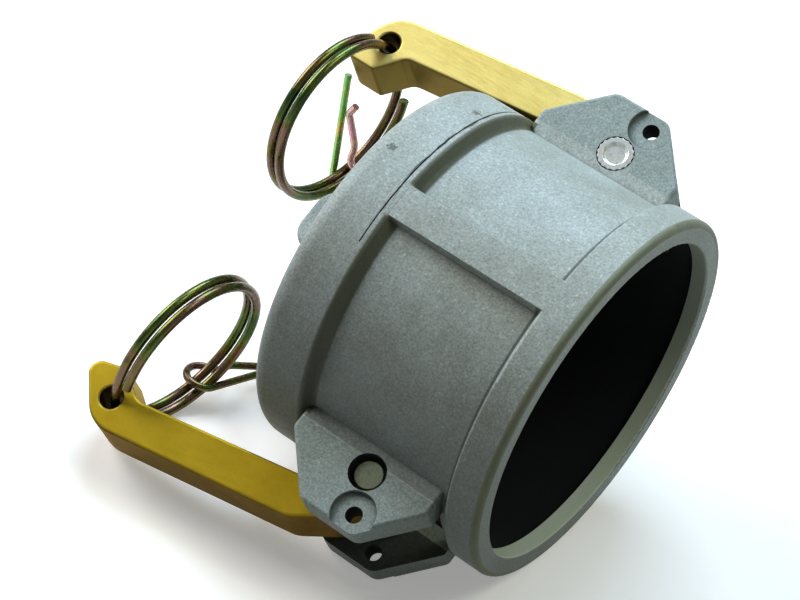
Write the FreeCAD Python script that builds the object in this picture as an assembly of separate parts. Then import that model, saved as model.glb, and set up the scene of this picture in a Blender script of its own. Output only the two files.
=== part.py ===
import FreeCAD
import Part

import math
import os

from FreeCAD import Rotation, Vector

# Camlock dust cap, millimetres.
# It is drawn level: X runs along the cap's axis and out of its mouth, Y points
# to the upper pair of ears and Z runs along the two pivot pins. The finished
# pieces are then rolled about X until the cap lies on its rim and on the
# corner of the lower ears, which is how it comes to rest on a table.

# The size of pipe sets the bore, and the radii and heights that follow from it
# are that much more than the bore
bore_radius = 31.9
cap_length = 50.1

# Cup
land_depth = 3.2
relief_step = 1.0
relief_radius = bore_radius + relief_step
rim_wall = 4.3
rim_radius = bore_radius + rim_wall
rim_width = 6.8
waist_wall = 2.3
waist_radius = bore_radius + waist_wall
flange_wall = 3.9
flange_radius = bore_radius + flange_wall
flange_width = 11.6
flange_slope = 1.7
end_wall = 4.0
mouth_round = 1.0
flange_round = 3.2
step_round = 0.6
flange_foot_round = 1.8
mouth_edge = 0.4

# Mould parting line, open as a fine crack along one stretch of the flange
crack_back = 40.0
crack_width = 0.28
crack_depth = 0.35
crack_from = 24.0
crack_to = 104.0

# Gasket in its groove at the bottom of the cup
gasket_bite = 1.45
gasket_outer_radius = bore_radius + gasket_bite
gasket_width = 7.95
gasket_inner_radius = gasket_outer_radius - gasket_width
gasket_thick = 6.35
gasket_play = 0.08
gasket_edge = 0.5

# Ribs along the waist, one on each flank
rib_width = 6.0
rib_offset = 1.0
rib_draft = 0.6

# Place of the pivot pins, from which the ears and windows are set out
pin_share = 21.5 / 50.1
pin_back = cap_length * pin_share
pin_rise = 4.1
pin_height = bore_radius + pin_rise

# Ears
ear_outer_face = 13.4
ear_thick = 5.8
ear_rise = 14.4
ear_top = bore_radius + ear_rise
ear_shoulder_rise = 4.5
ear_shoulder = bore_radius + ear_shoulder_rise
ear_foot_rise = 0.5
ear_foot_height = bore_radius + ear_foot_rise
ear_foot_slope = 1.2
ear_sink = 3.9
ear_root = bore_radius - ear_sink
ear_back_reach = 16.0
ear_back = pin_back + ear_back_reach
ear_foot_reach = 14.7
ear_back_foot = pin_back + ear_foot_reach
ear_top_back_reach = 6.8
ear_top_back = pin_back + ear_top_back_reach
ear_top_front_reach = 4.3
ear_top_front = pin_back - ear_top_front_reach
ear_front_reach = 13.1
ear_front = pin_back - ear_front_reach
ear_corner_round = 2.6
ear_shoulder_round = 1.2
ear_edge_round = 0.7

# Windows that let the cams reach the adapter
window_front_reach = 12.5
window_front = pin_back - window_front_reach
window_back_reach = 12.1
window_back = pin_back + window_back_reach
window_round = 2.0

# Lock holes that the clips go through
lock_hole_reach = 2.5
lock_hole_back = pin_back - lock_hole_reach
lock_hole_drop = 3.1
lock_hole_height = ear_top - lock_hole_drop
lock_hole_radius = 1.5
lock_seat_radius = 4.1
lock_seat_depth = 1.0

# Pivot pins
pin_radius = 3.0
pin_chamfer = 0.5
pin_recess = 1.5
pin_mouth_radius = 3.35
pin_head_radius = 3.3
pin_head_length = 4.6
pin_head_play = 0.06
pin_dish_radius = 2.3
pin_dish_depth = 0.45
pin_teeth = 18
pin_tooth_depth = 0.22
pin_fit = 0.03
pivot_play = 0.06

# Lanyard lug on the closed end
lug_height = 15.4
lug_thick = 6.0
lug_top_radius = 5.4
lug_foot_width = 17.0
lug_hole_radius = 2.6
lug_top_flare = 0.3
lug_corner_round = 4.3
lug_sink = 1.0

# Cam arms: the bar's heights are measured outwards from the flange, those of
# its head and cam from the pivot, and lengths from the pivot to the ring hole
arm_width = 11.0
arm_head_gap = 0.4
arm_edge_round = 0.55
ring_hole_overhang = 23.0
ring_hole_along = cap_length - pin_back + ring_hole_overhang
ring_hole_drop = 1.0
ring_hole_height = flange_radius - ring_hole_drop - pin_height
ring_hole_radius = 2.15
ring_hole_edge = 0.3
nose_length = 7.4
nose_heel_length = -0.5
nose_drop = 7.1
nose_heel_round = 0.8
nose_round = 2.2
neck_length = 4.8
neck_drop = 1.9
neck_round = 3.0
shin_rise = 2.6
shin_round = 2.0
hub_half_height = 2.6
hub_top = 5.4
hub_round = 1.8
hub_front = 4.1
brow_half_height = 2.0
brow_foot_round = 1.5
knuckle_length = 1.9
knuckle_rise = 4.8
knuckle_round = 7.0
hump_along = 13.0
hump_rise = 9.9
hump_round = 6.0
brow_along = 2.5
brow_height = 6.6
brow_round = 3.0
cam_radius = 5.2
cam_along = 1.5
cam_height = -3.0
lower_arm_open = 16.3

# Split rings
ring_radius = 16.2
ring_wire = 1.8
ring_pitch = 2.15

# Hairpin clips
clip_wire = 1.45
clip_eye_radius = 3.15
clip_leg = 20.5
clip_spring_end = 15.0
clip_neck_along = 3.8
clip_neck_gap = 3.2
clip_belly_along = 6.7
clip_belly_gap = 4.3
clip_pinch_gap = 1.6
clip_lip_along = 1.9
clip_lip_rise = 1.3
clip_bend_radius = 2.0

# How each ring lies: swing about the ring hole towards the closed end, tilt
# of its plane, drop of its centre along the pin, how far its wire has slid
# up and along the hole, and how far its cut ends stop from the hole
ring_lie = {
    "upper": {
        "swing": 5.3, "tilt": -4.1, "drop": 0.7, "rise": 0.3, "aside": 0.3,
        "near_end": 31.0, "far_end": 35.0},
    "lower": {
        "swing": -9.0, "tilt": -1.7, "drop": 0.6, "rise": 0.6, "aside": -0.45,
        "near_end": 37.0, "far_end": 28.0},
}

# How each clip lies: where it hangs round the ring, how far its eye has slid
# on the wire, and which ways its straight leg and its width point
clip_lie = {
    "upper": {
        "round_ring": 257.3, "slack": 0.8, "shift": 0.0,
        "leg": Vector(-0.169, 0.661, 0.731), "across": Vector(0.983, 0.061, 0.173)},
    "lower": {
        "round_ring": 264.4, "slack": 0.9, "shift": 0.3,
        "leg": Vector(0.228, 0.747, -0.624), "across": Vector(-0.972, 0.213, -0.1)},
}

axis_x = Vector(1, 0, 0)
axis_z = Vector(0, 0, 1)
origin = Vector(0, 0, 0)
side_sign = {"upper": 1, "lower": -1}

ear_inner_face = ear_outer_face - ear_thick
flange_front = cap_length - flange_width
groove_back = cap_length - end_wall
groove_front = groove_back - gasket_thick - 2 * gasket_play
groove_radius = gasket_outer_radius + gasket_play
arm_head_width = 2 * (ear_inner_face - arm_head_gap)


def rest_roll():
    """Roll at which the rim and the rounded corner of the lower ears touch one plane."""
    corner_y = ear_top - ear_edge_round
    corner_z = ear_outer_face - ear_edge_round
    reach = math.hypot(corner_y, corner_z)
    spread = math.acos((rim_radius - ear_edge_round) / reach)
    return math.degrees(math.atan2(corner_y, corner_z) - spread)


def rounded_face(corners, plane="xy"):
    """Face inside an outline of (first, second, radius) corners, with arcs at the rounded ones."""
    edges = []
    count = len(corners)
    starts = []
    ends = []
    for i, (u, v, radius) in enumerate(corners):
        here = Vector(u, v, 0)
        before = Vector(corners[i - 1][0], corners[i - 1][1], 0) - here
        after = Vector(corners[(i + 1) % count][0], corners[(i + 1) % count][1], 0) - here
        before.normalize()
        after.normalize()
        if radius == 0:
            starts.append(here)
            ends.append(here)
            continue
        half = before.getAngle(after) / 2
        setback = radius / math.tan(half)
        inner = (before + after).normalize() * (radius / math.sin(half))
        toward = inner * -1
        middle = here + inner + toward.normalize() * radius
        starts.append(here + before * setback)
        ends.append(here + after * setback)
        edges.append(Part.Arc(starts[i], middle, ends[i]).toShape())
    for i in range(count):
        start = ends[i]
        end = starts[(i + 1) % count]
        if start.distanceToPoint(end) > 1e-6:
            edges.append(Part.makeLine(start, end))
    return Part.Face(Part.Wire(Part.__sortEdges__(edges)))


def prism(corners, low, high):
    """Outline in the XY plane, raised from low to high along Z."""
    face = rounded_face(corners)
    face.translate(Vector(0, 0, low))
    return face.extrude(Vector(0, 0, high - low))


def cylinder(radius, length, place, direction=axis_z):
    return Part.makeCylinder(radius, length, place, direction)


def round_edges_at(solid, height, radius):
    """Round the edges of a prism that lie in the plane Z = height."""
    chosen = []
    for edge in solid.Edges:
        if all(abs(vertex.Z - height) < 1e-6 for vertex in edge.Vertexes):
            chosen.append(edge)
    return solid.makeFillet(radius, chosen)


def to_side(solid, side):
    """A piece drawn for the upper side, turned half round the cap's axis for the lower."""
    placed = solid.copy()
    if side == "lower":
        placed.rotate(origin, axis_x, 180)
    return placed


def make_cup():
    """Turned form of the casting: rim, waist, flange, closed end, bore and gasket groove."""
    profile = [
        (0, bore_radius, mouth_edge),
        (0, rim_radius, mouth_round),
        (-rim_width, rim_radius, step_round),
        (-rim_width, waist_radius, step_round),
        (-flange_front + flange_slope, waist_radius, flange_foot_round),
        (-flange_front, flange_radius, step_round),
        (-cap_length, flange_radius, flange_round),
        (-cap_length, 0, 0),
        (-groove_back, 0, 0),
        (-groove_back, groove_radius, 0),
        (-groove_front, groove_radius, 0),
        (-groove_front, relief_radius, 0),
        (-land_depth, relief_radius, 0),
        (-land_depth, bore_radius, 0),
    ]
    return rounded_face(profile).revolve(origin, axis_x, 360)


def make_rib():
    """Rib from rim to flange: a slice of a thick sleeve between two drafted sides."""
    sunk = (relief_radius + waist_radius) / 2
    sleeve = rounded_face([
        (-rim_width / 2, sunk, 0),
        (-rim_width / 2, rim_radius, 0),
        (-rim_width, rim_radius, 0),
        (-flange_front, flange_radius, 0),
        (-flange_front, sunk, 0),
    ]).revolve(origin, axis_x, 360)
    foot = rib_width / 2 + rib_draft
    head = rib_width / 2 - rib_draft / 4
    top = rim_radius + 1
    slice_outline = [
        Vector(-cap_length, rib_offset - foot, waist_radius),
        Vector(-cap_length, rib_offset - head, top),
        Vector(-cap_length, rib_offset + head, top),
        Vector(-cap_length, rib_offset + foot, waist_radius),
        Vector(-cap_length, rib_offset + foot, 0),
        Vector(-cap_length, rib_offset - foot, 0),
    ]
    slab = Part.Face(Part.makePolygon(slice_outline + slice_outline[:1]))
    return sleeve.common(slab.extrude(Vector(cap_length, 0, 0)))


def make_ear():
    """One ear plate, on the side of the knurled pin end, with its outer face rounded off."""
    plate = prism([
        (-ear_back_foot, ear_root, 0),
        (-ear_back_foot, ear_foot_height - ear_foot_slope, 0),
        (-ear_back, ear_foot_height, 0),
        (-ear_back, ear_shoulder, ear_shoulder_round),
        (-ear_top_back, ear_top, ear_corner_round),
        (-ear_top_front, ear_top, ear_corner_round),
        (-ear_front, ear_shoulder, ear_shoulder_round),
        (-ear_front, ear_root, 0),
    ], ear_inner_face, ear_outer_face)
    return round_edges_at(plate, ear_outer_face, ear_edge_round)


def make_lug():
    """Eye for a lanyard, standing on the middle of the closed end."""
    lug_end = -cap_length - lug_height
    half_foot = lug_foot_width / 2
    half_top = lug_top_radius + lug_top_flare
    blade = prism([
        (-cap_length + lug_sink, -half_foot, 0),
        (-cap_length, -half_foot, 0),
        (lug_end, -half_top, lug_corner_round),
        (lug_end, half_top, lug_corner_round),
        (-cap_length, half_foot, 0),
        (-cap_length + lug_sink, half_foot, 0),
    ], -lug_thick / 2, lug_thick / 2)
    blade = round_edges_at(blade, lug_thick / 2, ear_edge_round)
    blade = round_edges_at(blade, -lug_thick / 2, ear_edge_round)
    hole_place = Vector(lug_end + lug_top_radius, 0, -lug_thick / 2)
    hole = cylinder(lug_hole_radius, lug_thick, hole_place)
    return blade.cut(hole)


def make_window():
    """Opening through the wall between a pair of ears."""
    face = rounded_face([
        (-window_back, -ear_inner_face, window_round),
        (-window_front, -ear_inner_face, window_round),
        (-window_front, ear_inner_face, window_round),
        (-window_back, ear_inner_face, window_round),
    ])
    tool = face.extrude(Vector(0, 0, ear_top))
    tool.rotate(origin, axis_x, -90)
    tool.translate(Vector(0, bore_radius / 2, 0))
    return tool


def make_ear_holes():
    """Everything bored through the upper pair of ears, head side at +Z."""
    pin_place = Vector(-pin_back, pin_height, -ear_outer_face - 1)
    through = cylinder(pin_radius + pin_fit, 2 * ear_outer_face + 2, pin_place)
    head_bore = cylinder(
        pin_head_radius + pin_head_play, pin_head_length + 1,
        Vector(-pin_back, pin_height, ear_outer_face - pin_head_length - pin_head_play))
    mouth = cylinder(pin_mouth_radius, pin_recess + 1, pin_place)
    lock_place = Vector(-lock_hole_back, lock_hole_height, -ear_outer_face - 1)
    lock_hole = cylinder(lock_hole_radius, 2 * ear_outer_face + 2, lock_place)
    seat_low = cylinder(lock_seat_radius, lock_seat_depth + 1, lock_place)
    seat_high = cylinder(
        lock_seat_radius, lock_seat_depth + 1,
        Vector(-lock_hole_back, lock_hole_height, ear_outer_face - lock_seat_depth))
    return [through, head_bore, mouth, lock_hole, seat_low, seat_high]


def make_crack():
    """Sharp groove round part of the flange, where the mould halves met."""
    top = flange_radius + crack_depth
    groove = rounded_face([
        (-crack_back, flange_radius - crack_depth, 0),
        (-crack_back + crack_width, top, 0),
        (-crack_back - crack_width, top, 0),
    ]).revolve(origin, axis_x, crack_to - crack_from)
    groove.rotate(origin, axis_x, crack_from)
    return groove


def make_body():
    """The casting: cup, ribs, four ears and lug in one piece."""
    added = [make_lug()]
    cuts = [make_crack()]
    rib = make_rib()
    ear = make_ear()
    far_ear = ear.mirror(origin, axis_z)
    window = make_window()
    for side in side_sign:
        added.append(to_side(ear, side))
        added.append(to_side(far_ear, side))
        cuts.append(to_side(window, side))
        for tool in make_ear_holes():
            cuts.append(to_side(tool, side))
        added.append(to_side(rib, side))
    solid = make_cup().fuse(added)
    cuts.append(cylinder(relief_radius, groove_front - land_depth, Vector(-groove_front, 0, 0), axis_x))
    cuts.append(cylinder(groove_radius, groove_back - groove_front, Vector(-groove_back, 0, 0), axis_x))
    return solid.cut(cuts).removeSplitter()


def make_gasket():
    half = gasket_thick / 2
    middle = -(groove_front + groove_back) / 2
    return rounded_face([
        (middle - half, gasket_inner_radius, gasket_edge),
        (middle + half, gasket_inner_radius, gasket_edge),
        (middle + half, gasket_outer_radius, gasket_edge),
        (middle - half, gasket_outer_radius, gasket_edge),
    ]).revolve(origin, axis_x, 360)


def make_pin():
    """Pivot pin of the upper arm: knurled, dished head at +Z, chamfered plain end at -Z."""
    low = -ear_outer_face + pin_recess
    shank = cylinder(pin_radius, ear_outer_face - low - pin_dish_depth, Vector(0, 0, low))
    plain_end = [edge for edge in shank.Edges if edge.BoundBox.ZMax < low + 1e-6]
    shank = shank.makeChamfer(pin_chamfer, plain_end)
    teeth = []
    for i in range(2 * pin_teeth):
        radius = pin_head_radius - (pin_tooth_depth if i % 2 else 0)
        angle = math.pi * i / pin_teeth
        teeth.append(Vector(radius * math.cos(angle), radius * math.sin(angle), 0))
    head = Part.Face(Part.makePolygon(teeth + teeth[:1]))
    head.translate(Vector(0, 0, ear_outer_face - pin_head_length))
    head = head.extrude(Vector(0, 0, pin_head_length))
    dish = Part.makeCone(
        pin_dish_radius - pin_dish_depth, pin_dish_radius, pin_dish_depth,
        Vector(0, 0, ear_outer_face - pin_dish_depth))
    pin = shank.fuse(head).cut(dish).removeSplitter()
    pin.translate(Vector(-pin_back, pin_height, 0))
    return pin


def make_arm():
    """Cam arm in its closed place over the flange."""
    def at(along, height, radius):
        return (-pin_back - along, pin_height + height, radius)

    def over(along, height, radius):
        return (-pin_back - along, flange_radius + height, radius)

    hub_back = cam_along + cam_radius
    bar = prism([
        over(ring_hole_along + nose_heel_length, -nose_drop, nose_heel_round),
        over(ring_hole_along + nose_length, -nose_drop, nose_round),
        over(ring_hole_along + knuckle_length, knuckle_rise, knuckle_round),
        over(hump_along, hump_rise, hump_round),
        at(brow_along, brow_height, brow_round),
        at(-hub_front, brow_half_height, brow_foot_round),
        at(-hub_front, -brow_half_height, 0),
        at(hub_back, -brow_half_height, 0),
        over(hub_back, shin_rise, shin_round),
        over(ring_hole_along - neck_length, -neck_drop, neck_round),
    ], -arm_width / 2, arm_width / 2)
    bar = round_edges_at(bar, arm_width / 2, arm_edge_round)
    bar = round_edges_at(bar, -arm_width / 2, arm_edge_round)
    head_low = -arm_head_width / 2
    cam = cylinder(
        cam_radius, arm_head_width,
        Vector(-pin_back - cam_along, pin_height + cam_height, head_low))
    hub = prism([
        at(-hub_front, -hub_half_height, 0),
        at(-hub_front, hub_half_height, hub_round),
        at(brow_along - brow_foot_round, hub_top, hub_round),
        at(hub_back, hub_top, hub_round),
        at(hub_back, -hub_half_height, 0),
    ], head_low, -head_low)
    pivot = cylinder(
        pin_radius + pivot_play, arm_head_width,
        Vector(-pin_back, pin_height, head_low))
    hole_place = Vector(-pin_back - ring_hole_along, pin_height + ring_hole_height, -arm_width / 2)
    hole = cylinder(ring_hole_radius, arm_width, hole_place)
    low_lip = Part.makeCone(
        ring_hole_radius + ring_hole_edge, ring_hole_radius, ring_hole_edge, hole_place)
    high_lip = Part.makeCone(
        ring_hole_radius, ring_hole_radius + ring_hole_edge, ring_hole_edge,
        hole_place + axis_z * (arm_width - ring_hole_edge))
    arm = bar.fuse([cam, hub]).cut([pivot, hole, low_lip, high_lip])
    return arm.removeSplitter()


def ring_hole_place(side):
    """Middle of an arm's ring hole, with the lower arm swung out on its pin."""
    sign = side_sign[side]
    place = Vector(-ring_hole_along, ring_hole_height * sign, 0)
    if side == "lower":
        place = Rotation(axis_z, lower_arm_open).multVec(place)
    return place + Vector(-pin_back, pin_height * sign, 0)


def ring_frame(side):
    """Centre of a ring and its three directions: to the ring hole, along the pin, and its axis."""
    lie = ring_lie[side]
    sign = side_sign[side]
    to_hole = Rotation(axis_z, -sign * lie["swing"]).multVec(Vector(0, sign, 0))
    flat_axis = to_hole.cross(axis_z)
    tilt = Rotation(to_hole, lie["tilt"])
    along_pin = tilt.multVec(axis_z)
    ring_axis = tilt.multVec(flat_axis)
    centre = ring_hole_place(side) - to_hole * (ring_radius - lie["rise"])
    centre += ring_axis * lie["aside"] - along_pin * lie["drop"]
    return centre, to_hole, along_pin, ring_axis


def ring_point(side, angle, offset=0.0):
    """Point on a ring's mean circle, angle in degrees from the ring hole towards +Z."""
    centre, to_hole, along_pin, ring_axis = ring_frame(side)
    turn = math.radians(angle)
    circle = to_hole * (ring_radius * math.cos(turn)) + along_pin * (ring_radius * math.sin(turn))
    return centre + circle + ring_axis * offset


def placed(shape, first, second, third, place):
    """Shape drawn in its own axes, set with X, Y and Z along the three given directions."""
    frame = FreeCAD.Matrix(
        first.x, second.x, third.x, place.x,
        first.y, second.y, third.y, place.y,
        first.z, second.z, third.z, place.z,
        0, 0, 0, 1)
    return shape.transformShape(frame, True)


def make_ring(side):
    """Split ring: one wire of nearly two turns, of which the middle goes through the arm.

    Each half turn is a flat arc, tilted so that it steps over by half a pitch and
    runs on smoothly into the next."""
    lie = ring_lie[side]
    centre, to_hole, along_pin, ring_axis = ring_frame(side)
    tilt = math.degrees(math.asin(ring_pitch / (4 * ring_radius)))
    section = Part.Face(Part.Wire(Part.makeCircle(
        ring_wire / 2, Vector(ring_radius, 0, 0), Vector(0, 1, 0))))
    runs = [
        (-360, lie["near_end"], 180),
        (-180, 0, 180),
        (0, 0, 180),
        (180, 0, 180 - lie["far_end"]),
    ]
    pieces = []
    for start, first, last in runs:
        arc = section.copy()
        arc.rotate(origin, axis_z, first)
        arc = arc.revolve(origin, axis_z, last - first)
        arc.rotate(origin, Vector(0, 1, 0), tilt)
        arc.rotate(origin, axis_z, start)
        arc.translate(axis_z * (ring_pitch * (start + 90) / 360))
        pieces.append(arc)
    coil = pieces[0].fuse(pieces[1:]).removeSplitter()
    return placed(coil, to_hole, along_pin, ring_axis, centre)


def bent_wire(points, radii):
    """Wire of straight runs through the points, with an arc of the given radius at each bend."""
    edges = []
    begin = points[0]
    for i, radius in enumerate(radii):
        here = points[i + 1]
        before = (points[i] - here).normalize()
        after = (points[i + 2] - here).normalize()
        half = before.getAngle(after) / 2
        setback = radius / math.tan(half)
        inner = (before + after).normalize()
        middle = here + inner * (radius / math.sin(half) - radius)
        edges.append(Part.makeLine(begin, here + before * setback))
        edges.append(Part.Arc(here + before * setback, middle, here + after * setback).toShape())
        begin = here + after * setback
    edges.append(Part.makeLine(begin, points[-1]))
    return edges


def make_clip_blank():
    """Hairpin clip, flat in XY: eye round the origin, straight leg along +X below it."""
    eye = clip_eye_radius
    leg_tip = Vector(clip_leg, -eye, 0)
    leg_root = Vector(0, -eye, 0)
    neck = Vector(clip_neck_along, clip_neck_gap - eye, 0)
    leave_angle = math.atan2(neck.y, neck.x) + math.acos(eye / neck.Length)
    leave = Vector(eye * math.cos(leave_angle), eye * math.sin(leave_angle), 0)
    over = (leave_angle + 1.5 * math.pi) / 2
    eye_side = Vector(eye * math.cos(over), eye * math.sin(over), 0)
    belly = Vector(clip_belly_along, clip_belly_gap - eye, 0)
    pinch = Vector(clip_spring_end - clip_lip_along, clip_pinch_gap - eye, 0)
    lip = Vector(clip_spring_end, clip_pinch_gap - eye + clip_lip_rise, 0)
    edges = [Part.makeLine(leg_tip, leg_root)]
    edges.append(Part.Arc(leg_root, eye_side, leave).toShape())
    bends = [clip_bend_radius, 2 * clip_bend_radius, clip_bend_radius / 2]
    edges += bent_wire([leave, neck, belly, pinch, lip], bends)
    path = Part.Wire(edges)
    section = Part.Wire(Part.makeCircle(clip_wire / 2, leg_tip, Vector(-1, 0, 0)))
    return path.makePipeShell([section], True, True)


def make_clip(side):
    """Clip hung on its ring by the eye, with its straight leg the way it came to rest."""
    lie = clip_lie[side]
    leg = Vector(lie["leg"]).normalize()
    across = Vector(lie["across"])
    across = (across - leg * across.dot(leg)).normalize()
    angle = lie["round_ring"]
    eye_place = ring_point(side, angle, ring_pitch * (angle / 360 - 0.5))
    eye_place += across * lie["shift"] - leg * lie["slack"]
    return placed(make_clip_blank(), leg, across, leg.cross(across), eye_place)


def make_all():
    """Every piece by its name, rolled into the resting place."""
    roll = rest_roll()
    pieces = {"body": make_body(), "gasket": make_gasket()}
    arm = make_arm()
    pin = make_pin()
    for side in side_sign:
        side_arm = to_side(arm, side)
        if side == "lower":
            side_arm.rotate(Vector(-pin_back, -pin_height, 0), axis_z, lower_arm_open)
        pieces[side + "_arm"] = side_arm
        pieces[side + "_pin"] = to_side(pin, side)
        pieces[side + "_ring"] = make_ring(side)
        pieces[side + "_clip"] = make_clip(side)
    for shape in pieces.values():
        shape.rotate(origin, axis_x, roll)
    return pieces


def main():
    os.makedirs("parts", exist_ok=True)
    for name, shape in make_all().items():
        shape.exportStep("parts/" + name + ".step")


main()
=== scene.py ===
import math

import bmesh
import bpy
from mathutils import Matrix, Vector


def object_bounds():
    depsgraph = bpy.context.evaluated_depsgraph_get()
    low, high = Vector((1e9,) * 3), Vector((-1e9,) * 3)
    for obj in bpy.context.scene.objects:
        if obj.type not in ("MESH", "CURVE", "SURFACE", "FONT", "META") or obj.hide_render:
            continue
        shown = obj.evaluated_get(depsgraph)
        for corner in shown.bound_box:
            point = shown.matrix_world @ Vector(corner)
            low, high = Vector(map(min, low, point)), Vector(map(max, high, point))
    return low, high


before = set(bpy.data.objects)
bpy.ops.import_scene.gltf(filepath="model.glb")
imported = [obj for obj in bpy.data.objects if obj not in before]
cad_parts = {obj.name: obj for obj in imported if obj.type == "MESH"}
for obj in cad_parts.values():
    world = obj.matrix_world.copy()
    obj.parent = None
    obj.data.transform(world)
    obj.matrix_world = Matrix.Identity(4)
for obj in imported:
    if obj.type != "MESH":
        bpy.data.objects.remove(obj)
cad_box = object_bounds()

# The cap lies rolled about X. Level coordinates are those of the cap before
# that roll: X out of its mouth, Y to the upper ears, Z along the pivot pins.
millimetre = 0.001
rest_roll = math.radians(33.0244)
level_to_row = Matrix.Rotation(rest_roll, 4, "X")

# Camera, in level coordinates
camera_place = Vector((126.98, -114.68, 419.0)) * millimetre
camera_right = Vector((0.78262, 0.60264, -0.15596))
camera_up = Vector((-0.50592, 0.76174, 0.40472))
camera_back = Vector((0.36270, -0.23783, 0.90104))
camera_lens = 116.49
camera_sensor = 36

# Studio: what is seen is pale, while light that spreads meets a darker floor and room
floor_size = 3.0
floor_colour = (0.93, 0.91, 0.87)
floor_shade = (0.22, 0.22, 0.20)
floor_glow = 0.3
room_light = 0.05
room_colour = (1.0, 0.99, 0.92)
backdrop_top = 0.3
backdrop_from = 0.1
backdrop_to = 0.45
lamp_aim = Vector((-0.03, 0, 0))
lamps = {
    "key": {
        "watts": 6.3, "size": 0.5, "place": Vector((-0.79, -0.10, 0.52)), "colour": (1.0, 0.99, 0.98)},
    "top": {
        "watts": 7.2, "size": 0.5, "place": Vector((-0.29, 0.45, 0.78)), "colour": (0.70, 0.89, 1.12)},
    "mouth": {
        "watts": 2.2, "size": 0.4, "place": Vector((0.41, 0.18, 0.84)), "colour": (0.92, 1.0, 0.82)},
}

# Places on the casting where light or shade is painted, or that have marks of their own, in level
# millimetres
land_radius = 32.0
land_depth = 3.2
inside_radius = 33.6
inside_depth = 48
rim_edge_radius = 35.15
rim_edge_depth = 1.35
rim_edge_fade = 0.25
foot_back = 39.1
foot_front = 36.4
foot_radius = 35.9
rib_from = -2.4
rib_to = 4.4
step_back = 7.85
step_front = 7.0
step_radius = 36.0
# Heights between which the cup is painted darker towards its bottom, as painted shade
low_shade_from = -33
low_shade_to = -4
cup_radius = 36.4
ear_radius = 36.7
ear_inner_face = 7.6
crack_back = 40.0
crack_half_width = 0.2
crack_wander = 0.4
crack_from = math.radians(24)
crack_to = math.radians(104)
crack_fade = math.radians(22)
# Each scar's place and size
scars = (
    ((-46.2, 8.5, 34.8), 0.9),
    ((-41.6, 24.7, 25.9), 1.0),
    ((-41.6, 31.1, 17.7), 0.7),
)
# Holes along Z, painted dark inside as shade: X, Y and radius
pin_seat = (-21.5, 36.0, 3.36)
lock_hole = (-19.0, 43.2, 1.5)
# How far a mask on a wall or face reaches past it
skin = 0.05

# Most of a noise's values lie between these
noise_low = 0.3
noise_high = 0.7

# Places on the arms and clips, in level millimetres
upper_ring_hole = (-73.1, 34.8, 2.15)
lower_ring_hole = (-71.36, -49.33, 2.15)
lower_arm_open = math.radians(16.3)
clip_way = Vector((0.8489, 0.5029, -0.2090))
clip_from = -52.5
clip_to = -51.5

# The casting's finish with its painted light and shade; colours are linear, and ramps pair a noise value
# with a colour
cast_metallic = 0.06
inside_roughness = 0.95
cast_ground = [(0.32, (0.385, 0.43, 0.40)), (0.68, (0.435, 0.50, 0.495))]
cast_patches = [(0.3, (0.80, 0.775, 0.73)), (0.7, (1.04, 1.05, 1.05))]
cast_grains = [(0.3, (0.6, 0.6, 0.59)), (0.5, (0.96, 0.96, 0.96)), (0.72, (1.42, 1.43, 1.42))]
cast_spread = [(0.3, (0.87, 0.86, 0.84)), (0.7, (1.1, 1.1, 1.1))]
cast_fleck = (0.70, 0.74, 0.71)
# Edges lighter, partly as wear and partly as a painted highlight
cast_worn_and_highlit = (0.62, 0.66, 0.65)
# Colours of painted shade: in corners, at the flange's foot, at the rim's step, low on the cup, between
# the ears and on the ears
corner_painted_shade = (0.075, 0.075, 0.06)
foot_painted_shade = (0.075, 0.078, 0.042)
step_painted_shade = (0.06, 0.065, 0.055)
low_painted_shade = (0.05, 0.052, 0.05)
between_ears_painted_shade = (0.012, 0.013, 0.012)
ear_painted_shade = (0.80, 0.85, 0.86)
crack_dark = (0.03, 0.032, 0.022)
scar_dark = (0.06, 0.065, 0.05)
# Painted reflection on the rim's rounded outer edge
rim_edge_painted_reflection = (0.17, 0.185, 0.10)
# The land lighter, partly for its machined finish and partly as painted light
land_machined_and_lit = (0.78, 0.84, 0.68)
# Painted shade, near-black, inside the cup and the holes
inside_painted_shade = (0.006, 0.007, 0.008)

# Colours of the arms: one brass in a lit and a shaded copy, the upper arm paler as painted light and the
# lower arm deeper as painted shade
lit_gold = {"light": (0.86, 0.73, 0.26), "dark": (0.76, 0.61, 0.18)}
shaded_gold = {"light": (0.45, 0.32, 0.02), "dark": (0.36, 0.25, 0.012)}
# Painted shade on the arms' downward inner sides
lit_gold_underside = [(0.35, (0.030, 0.016, 0.002)), (0.65, (0.062, 0.036, 0.005))]
shaded_gold_underside = [(0.35, (0.055, 0.031, 0.004)), (0.65, (0.11, 0.068, 0.012))]
gold_scratches = [(0.35, (0.86, 0.84, 0.78)), (0.65, (1.1, 1.1, 1.12))]
gold_long_marks = [(0.3, (0.8, 0.78, 0.72)), (0.7, (1.1, 1.1, 1.12))]
gold_grains = [(0.35, (0.88, 0.87, 0.82)), (0.68, (1.14, 1.14, 1.2))]
# Painted shade in the arm's corners
gold_corner_shade = (0.05, 0.03, 0.006)
# Edges lighter, partly as wear and partly as a painted highlight
gold_worn_and_highlit = (0.85, 0.66, 0.22)
# Painted shade inside the ring hole
gold_hole_shade = (0.012, 0.009, 0.004)
gold_sheen = (0.85, 0.62, 0.25)

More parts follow.
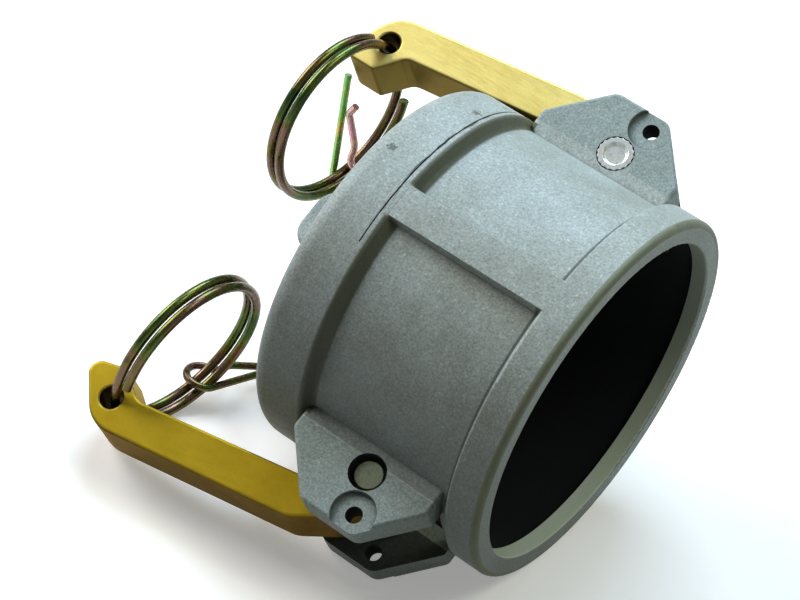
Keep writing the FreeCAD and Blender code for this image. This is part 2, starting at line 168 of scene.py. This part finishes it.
# Colours of the pins, wires and rubber; the two pins are one steel, the upper one lighter as painted light
# and the lower one duller as painted shade
lit_pin = {"light": (0.86, 0.88, 0.86), "dark": (0.52, 0.53, 0.48)}
shaded_pin = {"light": (0.27, 0.31, 0.21), "dark": (0.15, 0.17, 0.11)}
pin_grains = [(0.3, (0.7, 0.7, 0.68)), (0.7, (1.1, 1.1, 1.1))]
brown_wire = [
    (0.30, (0.05, 0.036, 0.022)), (0.40, (0.13, 0.10, 0.035)), (0.48, (0.17, 0.10, 0.075)),
    (0.55, (0.12, 0.10, 0.03)), (0.62, (0.10, 0.13, 0.035)), (0.72, (0.045, 0.08, 0.025))]
green_wire = [(0.3, (0.20, 0.46, 0.15)), (0.5, (0.26, 0.46, 0.12)), (0.7, (0.50, 0.42, 0.14))]
rose_wire = [(0.3, (0.66, 0.33, 0.40)), (0.5, (0.62, 0.36, 0.30)), (0.7, (0.50, 0.42, 0.16))]
wire_streaks = [(0.3, (0.62, 0.6, 0.58)), (0.7, (1.15, 1.15, 1.15))]
rubber_bloom = [(0.35, (0.006, 0.006, 0.006)), (0.75, (0.014, 0.014, 0.013))]


# Node helpers: sockets go in and come out


def start_finish(name, metallic, roughness):
    """New material; returns it with its tree and shader."""
    material = bpy.data.materials.new(name)
    material.use_nodes = True
    tree = material.node_tree
    shader = tree.nodes["Principled BSDF"]
    shader.inputs["Metallic"].default_value = metallic
    shader.inputs["Roughness"].default_value = roughness
    return material, tree, shader


def add(tree, kind, **settings):
    """New shader node of a kind, with its settings."""
    made = tree.nodes.new("ShaderNode" + kind)
    for name, value in settings.items():
        setattr(made, name, value)
    return made


def feed(tree, value, socket):
    """Links a socket into another, or sets a number or a colour on it."""
    if isinstance(value, (int, float)):
        socket.default_value = value
    elif isinstance(value, tuple):
        socket.default_value = (*value, 1)
    else:
        tree.links.new(value, socket)


def object_place(tree):
    """Coordinates of the piece itself, so that its pattern moves with it."""
    return add(tree, "TexCoord").outputs["Object"]


def turned(tree, place, angles=(0, 0, 0), stretch=(1, 1, 1)):
    """Coordinates turned, then stretched, for a pattern that follows a piece."""
    mapping = add(tree, "Mapping")
    mapping.inputs["Rotation"].default_value = angles
    mapping.inputs["Scale"].default_value = stretch
    feed(tree, place, mapping.inputs["Vector"])
    return mapping.outputs["Vector"]


def level_place(tree, place):
    """The same with the cap's roll taken out."""
    return turned(tree, place, (-rest_roll, 0, 0))


def noise(tree, place, size, detail=3.0, rough=0.5, distortion=0.0):
    """Noise whose patches are about size millimetres across."""
    texture = add(tree, "TexNoise")
    texture.inputs["Scale"].default_value = 1 / (size * millimetre)
    texture.inputs["Detail"].default_value = detail
    texture.inputs["Roughness"].default_value = rough
    texture.inputs["Distortion"].default_value = distortion
    feed(tree, place, texture.inputs["Vector"])
    return texture.outputs["Fac"]


def pits(tree, place, size):
    """Distance from the nearest of many scattered points, about size millimetres apart."""
    texture = add(tree, "TexVoronoi")
    texture.inputs["Scale"].default_value = 1 / (size * millimetre)
    feed(tree, place, texture.inputs["Vector"])
    return texture.outputs["Distance"]


def sums(tree, operation, first, second=0):
    """Math node on one or two inputs, each a socket or a number."""
    made = add(tree, "Math", operation=operation)
    feed(tree, first, made.inputs[0])
    feed(tree, second, made.inputs[1])
    return made.outputs[0]


def times(tree, first, *others):
    """Product of two or more masks or numbers."""
    for other in others:
        first = sums(tree, "MULTIPLY", first, other)
    return first


def below(tree, value, limit):
    """1 where a length is less than limit millimetres."""
    return sums(tree, "LESS_THAN", value, limit * millimetre)


def above(tree, value, limit):
    """1 where a length is more than limit millimetres."""
    return sums(tree, "GREATER_THAN", value, limit * millimetre)


def between(tree, value, low, high, to_low=0.0, to_high=1.0):
    """Eases from to_low to to_high as the value goes from low to high."""
    made = add(tree, "MapRange", clamp=True, interpolation_type="SMOOTHSTEP")
    feed(tree, value, made.inputs["Value"])
    made.inputs["From Min"].default_value = low
    made.inputs["From Max"].default_value = high
    made.inputs["To Min"].default_value = to_low
    made.inputs["To Max"].default_value = to_high
    return made.outputs["Result"]


def by_noise(tree, value, to_low, to_high):
    """Eases from to_low to to_high over the range that most of a noise lies in."""
    return between(tree, value, noise_low, noise_high, to_low, to_high)


def fade(tree, value, low, high, to_low=0.0, to_high=1.0):
    """Eases from to_low to to_high as a length goes from low to high millimetres."""
    return between(tree, value, low * millimetre, high * millimetre, to_low, to_high)


def stripe(tree, value, low, high, soft):
    """1 between two places in millimetres, with edges that fade over soft."""
    rising = fade(tree, value, low - soft, low + soft)
    falling = fade(tree, value, high - soft, high + soft, to_low=1.0, to_high=0.0)
    return times(tree, rising, falling)


def colours(tree, value, stops):
    """Colour ramp through (place, colour) stops."""
    made = add(tree, "ValToRGB")
    elements = made.color_ramp.elements
    for index, (place, colour) in enumerate(stops):
        if index < 2:
            element = elements[index]
            element.position = place
        else:
            element = elements.new(place)
        element.color = (*colour, 1)
    feed(tree, value, made.inputs["Fac"])
    return made.outputs["Color"]


def mixed(tree, factor, first, second, mode="MIX"):
    """Two colours mixed, each a socket or three numbers."""
    made = add(tree, "Mix", data_type="RGBA", blend_type=mode)
    feed(tree, factor, made.inputs["Factor"])
    feed(tree, first, made.inputs[6])
    feed(tree, second, made.inputs[7])
    return made.outputs[2]


def toned(tree, ground, value, stops, amount):
    """Ground multiplied by a ramp of the value, as strongly as amount says."""
    return mixed(tree, amount, ground, colours(tree, value, stops), "MULTIPLY")


def covered(tree, ground, mask, colour, amount):
    """Ground with a colour laid over it where the mask is 1, as strongly as amount says."""
    return mixed(tree, times(tree, mask, amount), ground, colour)


def bump(tree, height, depth, strength=1.0, under=None):
    """Relief of the given depth in millimetres, laid over another normal."""
    made = add(tree, "Bump")
    made.inputs["Strength"].default_value = strength
    made.inputs["Distance"].default_value = depth * millimetre
    feed(tree, height, made.inputs["Height"])
    if under is not None:
        feed(tree, under, made.inputs["Normal"])
    return made.outputs["Normal"]


def soft_edges(tree, radius):
    """Normal of a surface whose edges are rounded by a radius in millimetres."""
    made = add(tree, "Bevel", samples=4)
    made.inputs["Radius"].default_value = radius * millimetre
    return made.outputs["Normal"]


def dot(tree, first, second):
    """Dot product of a socket with a socket or a direction."""
    made = add(tree, "VectorMath", operation="DOT_PRODUCT")
    feed(tree, first, made.inputs[0])
    if isinstance(second, (tuple, Vector)):
        made.inputs[1].default_value = second
    else:
        feed(tree, second, made.inputs[1])
    return made.outputs["Value"]


def sharp_edges(tree, radius, low, high):
    """1 along sharp edges and 0 on flat faces, from how far a rounded normal leans off the true one."""
    rounded = soft_edges(tree, radius)
    true = add(tree, "NewGeometry").outputs["Normal"]
    return between(tree, dot(tree, rounded, true), high, low)


def openness(tree, reach):
    """1 on open faces, falling towards 0 in corners and cracks, within reach millimetres."""
    made = add(tree, "AmbientOcclusion", samples=6)
    made.inputs["Distance"].default_value = reach * millimetre
    return made.outputs["AO"]


def length_of(tree, vector):
    """Length of a vector."""
    made = add(tree, "VectorMath", operation="LENGTH")
    feed(tree, vector, made.inputs[0])
    return made.outputs["Value"]


def split(tree, vector):
    """The three parts of a vector."""
    made = add(tree, "SeparateXYZ")
    feed(tree, vector, made.inputs[0])
    return made.outputs["X"], made.outputs["Y"], made.outputs["Z"]


def axis_distance(tree, level):
    """Distance from the cup's axis."""
    across = add(tree, "VectorMath", operation="MULTIPLY")
    feed(tree, level, across.inputs[0])
    across.inputs[1].default_value = (0, 1, 1)
    return length_of(tree, across.outputs["Vector"])


def round_hole(tree, level, hole, both_sides=False):
    """1 on the wall of a hole along Z, given by X, Y and radius; both_sides takes its mirror image too."""
    centre_x, centre_y, radius = hole
    x, y, _ = split(tree, level)
    if both_sides:
        y = sums(tree, "ABSOLUTE", y)
    gap = add(tree, "CombineXYZ")
    feed(tree, sums(tree, "SUBTRACT", x, centre_x * millimetre), gap.inputs["X"])
    feed(tree, sums(tree, "SUBTRACT", y, centre_y * millimetre), gap.inputs["Y"])
    return below(tree, length_of(tree, gap.outputs["Vector"]), radius + skin)


def blot(tree, place, centre, size, ragged):
    """1 within about size millimetres of a place, with an edge that follows a noise."""
    away = add(tree, "VectorMath", operation="DISTANCE")
    feed(tree, place, away.inputs[0])
    away.inputs[1].default_value = Vector(centre) * millimetre
    reach = size * millimetre
    wander = by_noise(tree, ragged, to_low=-reach / 2, to_high=reach / 2)
    edge = sums(tree, "ADD", away.outputs["Value"], wander)
    return between(tree, edge, reach / 2, reach, to_low=1.0, to_high=0.0)


# Finishes


def cast_surface(tree, place, grain, coarse, patches):
    """Colour of the bare casting: grains and flecks on a mottled ground, edges lighter partly as wear and
    partly as painted highlight, and painted shade in the corners.
    """
    stains = noise(tree, place, size=24.0, detail=3.0, rough=0.5, distortion=0.4)
    cast = colours(tree, stains, cast_ground)
    cast = toned(tree, cast, patches, cast_patches, amount=0.7)
    cast = toned(tree, cast, grain, cast_grains, amount=0.8)
    flecks = between(tree, pits(tree, place, size=1.5), low=0.06, high=0.2, to_low=0.55, to_high=0.0)
    cast = mixed(tree, flecks, cast, cast_fleck)
    cast = toned(tree, cast, coarse, cast_spread, amount=0.75)
    # Edges lighter, partly as wear and partly as a painted highlight
    cast = covered(tree, cast, sharp_edges(tree, radius=0.3, low=0.9, high=0.995), cast_worn_and_highlit, amount=0.4)
    # Painted shade: the casting darkens in its corners and creases, where shade falls
    corner_shade = between(tree, openness(tree, reach=1.6), low=0.5, high=0.88, to_low=0.75, to_high=0.0)
    return mixed(tree, corner_shade, cast, corner_painted_shade)


def cast_bands(tree, cast, level, radius):
    """Painted shade at the flange's foot off the ribs, at the rim's step, towards the bottom of the cup,
    between the ears and on the ears.
    """
    along, height, across = split(tree, level)
    # Painted shade in the band at the flange's foot, away from the ribs
    foot = times(
        tree,
        stripe(tree, along, -foot_back, -foot_front, soft=0.3),
        below(tree, radius, foot_radius))
    flank = times(tree, height, sums(tree, "SIGN", across))
    off_rib = sums(tree, "SUBTRACT", 1.0, stripe(tree, flank, rib_from, rib_to, soft=0.4))
    cast = covered(tree, cast, times(tree, foot, off_rib), foot_painted_shade, amount=0.92)
    # Painted shade along the rim's back step
    step = times(
        tree,
        stripe(tree, along, -step_back, -step_front, soft=0.1),
        below(tree, radius, step_radius))
    cast = covered(tree, cast, step, step_painted_shade, amount=0.7)
    # Painted shade: the cup darker towards its bottom, where less light falls
    low_shade_mask = fade(tree, height, low_shade_from, low_shade_to, to_low=0.42, to_high=0.0)
    on_cup = below(tree, radius, cup_radius)
    cast = mixed(tree, times(tree, low_shade_mask, on_cup), cast, low_painted_shade)
    # Painted shade on the faces between the ears
    between_ears = times(
        tree,
        above(tree, radius, cup_radius),
        below(tree, sums(tree, "ABSOLUTE", across), ear_inner_face + skin))
    cast = covered(tree, cast, between_ears, between_ears_painted_shade, amount=0.85)
    # Painted shade: the ears a little darker than the cup
    on_ears = above(tree, radius, ear_radius)
    return mixed(tree, on_ears, cast, ear_painted_shade, "MULTIPLY")


def cast_flaws(tree, cast, place, level, grain, patches):
    """A ragged crack along the flange's parting line, and a few scars beside it."""
    along, height, across = split(tree, level)
    wander = between(
        tree, patches, low=0.2, high=0.8,
        to_low=-crack_wander * millimetre, to_high=crack_wander * millimetre)
    crack = stripe(
        tree, sums(tree, "ADD", along, wander),
        -crack_back - crack_half_width, -crack_back + crack_half_width, soft=0.16)
    turn = sums(tree, "ARCTAN2", across, height)
    reach = times(
        tree,
        between(tree, turn, crack_from, crack_from + crack_fade),
        between(tree, turn, crack_to - crack_fade, crack_to, to_low=1.0, to_high=0.0))
    breaks = noise(tree, place, size=4.0, detail=2.0)
    broken = between(tree, breaks, low=0.4, high=0.55, to_low=0.3, to_high=0.85)
    cast = mixed(tree, times(tree, crack, reach, broken), cast, crack_dark)
    for spot, size in scars:
        cast = covered(tree, cast, blot(tree, level, spot, size, grain), scar_dark, amount=0.7)
    return cast


def inside_shade_mask(tree, level, radius):
    """Where painted shade goes: 1 in the cup behind its machined land, in the pin seats and in the lock
    holes.
    """
    along = split(tree, level)[0]
    inside = times(
        tree,
        below(tree, radius, inside_radius),
        below(tree, along, -(land_depth + skin)),
        above(tree, along, -inside_depth))
    for hole in (pin_seat, lock_hole):
        inside = sums(tree, "MAXIMUM", inside, round_hole(tree, level, hole, both_sides=True))
    return inside


def cast_aluminium():
    """Sand-cast grey with the marks of the mould, a machined land at the mouth lighter partly as painted
    light, and painted shade, near-black, inside.
    """
    material, tree, shader = start_finish("cast_aluminium", cast_metallic, roughness=0.55)
    place = object_place(tree)
    level = level_place(tree, place)
    radius = axis_distance(tree, level)
    along = split(tree, level)[0]
    grain = noise(tree, place, size=0.4, rough=0.65)
    coarse = noise(tree, place, size=1.0, rough=0.6)
    patches = noise(tree, place, size=6.0, detail=4.0, rough=0.6)
    cast = cast_surface(tree, place, grain, coarse, patches)
    cast = cast_bands(tree, cast, level, radius)
    cast = cast_flaws(tree, cast, place, level, grain, patches)
    # Painted reflection: an olive band on the rim's rounded outer edge
    rim_edge = times(
        tree,
        fade(tree, radius, rim_edge_radius - rim_edge_fade, rim_edge_radius),
        fade(tree, along, -rim_edge_depth, -rim_edge_depth + rim_edge_fade))
    cast = covered(tree, cast, rim_edge, rim_edge_painted_reflection, amount=0.8)
    # The machined land at the mouth, lighter partly for its finish and partly as painted light falling
    # into the mouth
    land = times(
        tree,
        below(tree, radius, land_radius),
        above(tree, along, -(land_depth + skin)))
    cast = covered(tree, cast, land, land_machined_and_lit, amount=0.85)
    # Painted shade: near-black in the cup, the pin seats and the lock holes
    inside = inside_shade_mask(tree, level, radius)
    cast = mixed(tree, inside, cast, inside_painted_shade)
    feed(tree, cast, shader.inputs["Base Color"])
    rough = by_noise(tree, coarse, to_low=0.46, to_high=0.64)
    rough = sums(tree, "MAXIMUM", rough, times(tree, inside, inside_roughness))
    feed(tree, rough, shader.inputs["Roughness"])
    metal = times(tree, sums(tree, "SUBTRACT", 1.0, inside), cast_metallic)
    feed(tree, metal, shader.inputs["Metallic"])
    shader.inputs["Specular IOR Level"].default_value = 0.25
    relief = soft_edges(tree, radius=0.16)
    relief = bump(tree, patches, depth=0.2, strength=0.3, under=relief)
    relief = bump(tree, coarse, depth=0.07, strength=0.5, under=relief)
    relief = bump(tree, grain, depth=0.035, strength=0.7, under=relief)
    feed(tree, relief, shader.inputs["Normal"])
    return material


def satin_brass(name, gold_tones, inner, scratch_turn, ring_hole):
    """Gold arm with fine lengthwise scratches, edges lighter partly as wear and partly as painted
    highlight, painted shade on its brown inner side and in its corners, and a ring hole darkened as
    painted shade.
    """
    material, tree, shader = start_finish(name, metallic=0.7, roughness=0.36)
    shader.inputs["Specular IOR Level"].default_value = 0.2
    shader.inputs["Specular Tint"].default_value = (*gold_sheen, 1)
    place = object_place(tree)
    along = turned(tree, place, (-rest_roll, 0, scratch_turn))
    scratches = noise(tree, turned(tree, along, stretch=(0.1, 1, 1)), size=0.3, detail=4.0, rough=0.65)
    long_marks = noise(tree, turned(tree, along, stretch=(0.06, 1, 1)), size=1.3, rough=0.6)
    cloud = noise(tree, place, size=11.0, detail=4.0, rough=0.6)
    grain = noise(tree, place, size=0.3, detail=2.0)
    gold = colours(tree, cloud, [(0.32, gold_tones["dark"]), (0.68, gold_tones["light"])])
    gold = toned(tree, gold, scratches, gold_scratches, amount=0.08)
    gold = toned(tree, gold, long_marks, gold_long_marks, amount=0.06)
    gold = toned(tree, gold, grain, gold_grains, amount=0.3)
    # Painted shade: faces turned down and inwards are darker and browner
    inner_way = tuple(level_to_row.to_3x3() @ Vector((0, -1, 0)))
    lean = dot(tree, add(tree, "TexCoord").outputs["Normal"], inner_way)
    underside_shade = between(tree, lean, low=0.2, high=0.7, to_low=0.0, to_high=0.9)
    gold = mixed(tree, underside_shade, gold, colours(tree, cloud, inner))
    # Painted shade in the arm's corners and creases
    corner_shade = between(tree, openness(tree, reach=2.5), low=0.5, high=0.92, to_low=0.7, to_high=0.0)
    gold = mixed(tree, corner_shade, gold, gold_corner_shade)
    # Edges lighter, partly as wear and partly as a painted highlight
    gold = covered(tree, gold, sharp_edges(tree, radius=0.35, low=0.88, high=0.99), gold_worn_and_highlit, amount=0.4)
    # Painted shade in the ring hole
    gold = mixed(tree, round_hole(tree, level_place(tree, place), ring_hole), gold, gold_hole_shade)
    feed(tree, gold, shader.inputs["Base Color"])
    feed(tree, by_noise(tree, scratches, to_low=0.36, to_high=0.46), shader.inputs["Roughness"])
    relief = soft_edges(tree, radius=0.3)
    relief = bump(tree, scratches, depth=0.008, strength=0.4, under=relief)
    relief = bump(tree, grain, depth=0.012, strength=0.4, under=relief)
    feed(tree, relief, shader.inputs["Normal"])
    return material


def pin_steel(name, light, dark):
    """Pin steel with turning marks and small dull spots."""
    material, tree, shader = start_finish(name, metallic=0.85, roughness=0.3)
    place = object_place(tree)
    spots = noise(tree, place, size=1.3, detail=4.0, rough=0.6)
    fine = noise(tree, place, size=0.25, rough=0.6)
    steel = colours(tree, spots, [(0.35, dark), (0.6, light)])
    steel = toned(tree, steel, fine, pin_grains, amount=0.4)
    feed(tree, steel, shader.inputs["Base Color"])
    feed(tree, by_noise(tree, spots, to_low=0.42, to_high=0.24), shader.inputs["Roughness"])
    relief = soft_edges(tree, radius=0.15)
    relief = bump(tree, spots, depth=0.06, strength=0.5, under=relief)
    relief = bump(tree, fine, depth=0.02, strength=0.6, under=relief)
    feed(tree, relief, shader.inputs["Normal"])
    return material


def zinc_wire(name, band, stops, far_leg=None):
    """Yellow passivated zinc, its colour drifting every band millimetres; a clip's far leg may differ."""
    material, tree, shader = start_finish(name, metallic=1.0, roughness=0.26)
    place = object_place(tree)
    drift = noise(tree, place, size=band, detail=1.5, distortion=0.4)
    streaks = noise(tree, place, size=0.9, rough=0.6)
    tint = colours(tree, drift, stops)
    if far_leg:
        across = dot(tree, level_place(tree, place), clip_way)
        on_far_leg = fade(tree, across, clip_from, clip_to)
        tint = mixed(tree, on_far_leg, tint, colours(tree, drift, far_leg))
    tint = toned(tree, tint, streaks, wire_streaks, amount=0.35)
    feed(tree, tint, shader.inputs["Base Color"])
    feed(tree, by_noise(tree, streaks, to_low=0.16, to_high=0.32), shader.inputs["Roughness"])
    feed(tree, bump(tree, streaks, depth=0.03, strength=0.5), shader.inputs["Normal"])
    return material


def black_rubber():
    """Matt black rubber with faint grey bloom."""
    material, tree, shader = start_finish("black_rubber", metallic=0.0, roughness=0.6)
    place = object_place(tree)
    bloom = noise(tree, place, size=6.0, detail=4.0, rough=0.6)
    skin_grain = noise(tree, place, size=0.5, detail=2.0)
    feed(tree, colours(tree, bloom, rubber_bloom), shader.inputs["Base Color"])
    feed(tree, by_noise(tree, bloom, to_low=0.55, to_high=0.75), shader.inputs["Roughness"])
    feed(tree, bump(tree, skin_grain, depth=0.03, strength=0.5), shader.inputs["Normal"])
    return material


def shown_rays(tree):
    """1 for what is seen straight, in a reflection or through something, and 0 for light that spreads."""
    rays = add(tree, "LightPath")
    mirrored = sums(tree, "MAXIMUM", rays.outputs["Is Glossy Ray"], rays.outputs["Is Transmission Ray"])
    return sums(tree, "MAXIMUM", rays.outputs["Is Camera Ray"], mirrored)


def floor_paint():
    """Pale to the eye, but it throws less light back up at the cap."""
    material, tree, shader = start_finish("floor_paint", metallic=0.0, roughness=0.9)
    seen = shown_rays(tree)
    feed(tree, mixed(tree, seen, floor_shade, floor_colour), shader.inputs["Base Color"])
    shader.inputs["Emission Color"].default_value = (1, 1, 1, 1)
    feed(tree, times(tree, seen, floor_glow), shader.inputs["Emission Strength"])
    shader.inputs["Specular IOR Level"].default_value = 0.1
    return material


# Studio pieces


def make_floor():
    mesh = bpy.data.meshes.new("floor")
    sheet = bmesh.new()
    bmesh.ops.create_grid(sheet, x_segments=1, y_segments=1, size=floor_size)
    bmesh.ops.translate(sheet, verts=sheet.verts, vec=Vector((0, 0, cad_box[0].z)))
    sheet.to_mesh(mesh)
    sheet.free()
    mesh.materials.append(floor_paint())
    floor = bpy.data.objects.new("floor", mesh)
    bpy.context.scene.collection.objects.link(floor)


def make_lamp(name, watts, size, place, colour):
    """Square soft lamp that points at the cap."""
    light = bpy.data.lights.new(name, "AREA")
    light.energy = watts
    light.size = size
    light.color = colour
    lamp = bpy.data.objects.new(name, light)
    bpy.context.scene.collection.objects.link(lamp)
    lamp.location = place
    lamp.rotation_mode = "QUATERNION"
    lamp.rotation_quaternion = (lamp_aim - place).to_track_quat("-Z", "Y")


def make_room():
    """Soft light from all round, in front of a backdrop that darkens upwards."""
    world = bpy.data.worlds.new("room")
    world.use_nodes = True
    tree = world.node_tree
    background = tree.nodes["Background"]
    seen = shown_rays(tree)
    feed(tree, mixed(tree, seen, room_colour, (1.0, 1.0, 1.0)), background.inputs["Color"])
    upwards = split(tree, add(tree, "TexCoord").outputs["Generated"])[2]
    backdrop = between(tree, upwards, backdrop_from, backdrop_to, to_low=1.0, to_high=backdrop_top)
    strength = add(tree, "MapRange")
    feed(tree, seen, strength.inputs["Value"])
    strength.inputs["To Min"].default_value = room_light
    feed(tree, backdrop, strength.inputs["To Max"])
    feed(tree, strength.outputs["Result"], background.inputs["Strength"])
    bpy.context.scene.world = world


def make_camera():
    camera = bpy.data.cameras.new("camera")
    camera.lens = camera_lens
    camera.sensor_width = camera_sensor
    camera.clip_start = 0.01
    camera.clip_end = 20
    holder = bpy.data.objects.new("camera", camera)
    bpy.context.scene.collection.objects.link(holder)
    facing = Matrix((camera_right, camera_up, camera_back)).transposed().to_4x4()
    holder.matrix_world = level_to_row @ Matrix.Translation(camera_place) @ facing
    bpy.context.scene.camera = holder


def dress_pieces():
    """Each CAD piece gets its finish."""
    finishes = {
        "body": cast_aluminium(),
        "gasket": black_rubber(),
        "upper_arm": satin_brass("lit_brass", lit_gold, lit_gold_underside, 0, upper_ring_hole),
        "lower_arm": satin_brass(
            "shaded_brass", shaded_gold, shaded_gold_underside, -lower_arm_open, lower_ring_hole),
        "upper_pin": pin_steel("bright_steel", **lit_pin),
        "lower_pin": pin_steel("shaded_steel", **shaded_pin),
        "upper_ring": zinc_wire("zinc_ring", 9.0, brown_wire),
        "lower_ring": zinc_wire("zinc_ring_lower", 8.0, brown_wire),
        "upper_clip": zinc_wire("zinc_clip", 5.0, green_wire, far_leg=rose_wire),
        "lower_clip": zinc_wire("zinc_clip_lower", 5.0, brown_wire),
    }
    for name, finish in finishes.items():
        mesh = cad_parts[name].data
        mesh.materials.clear()
        mesh.materials.append(finish)


make_camera()
make_room()
make_floor()
for name, lamp in lamps.items():
    make_lamp(name, **lamp)
dress_pieces()
bpy.context.scene.view_settings.view_transform = "Standard"
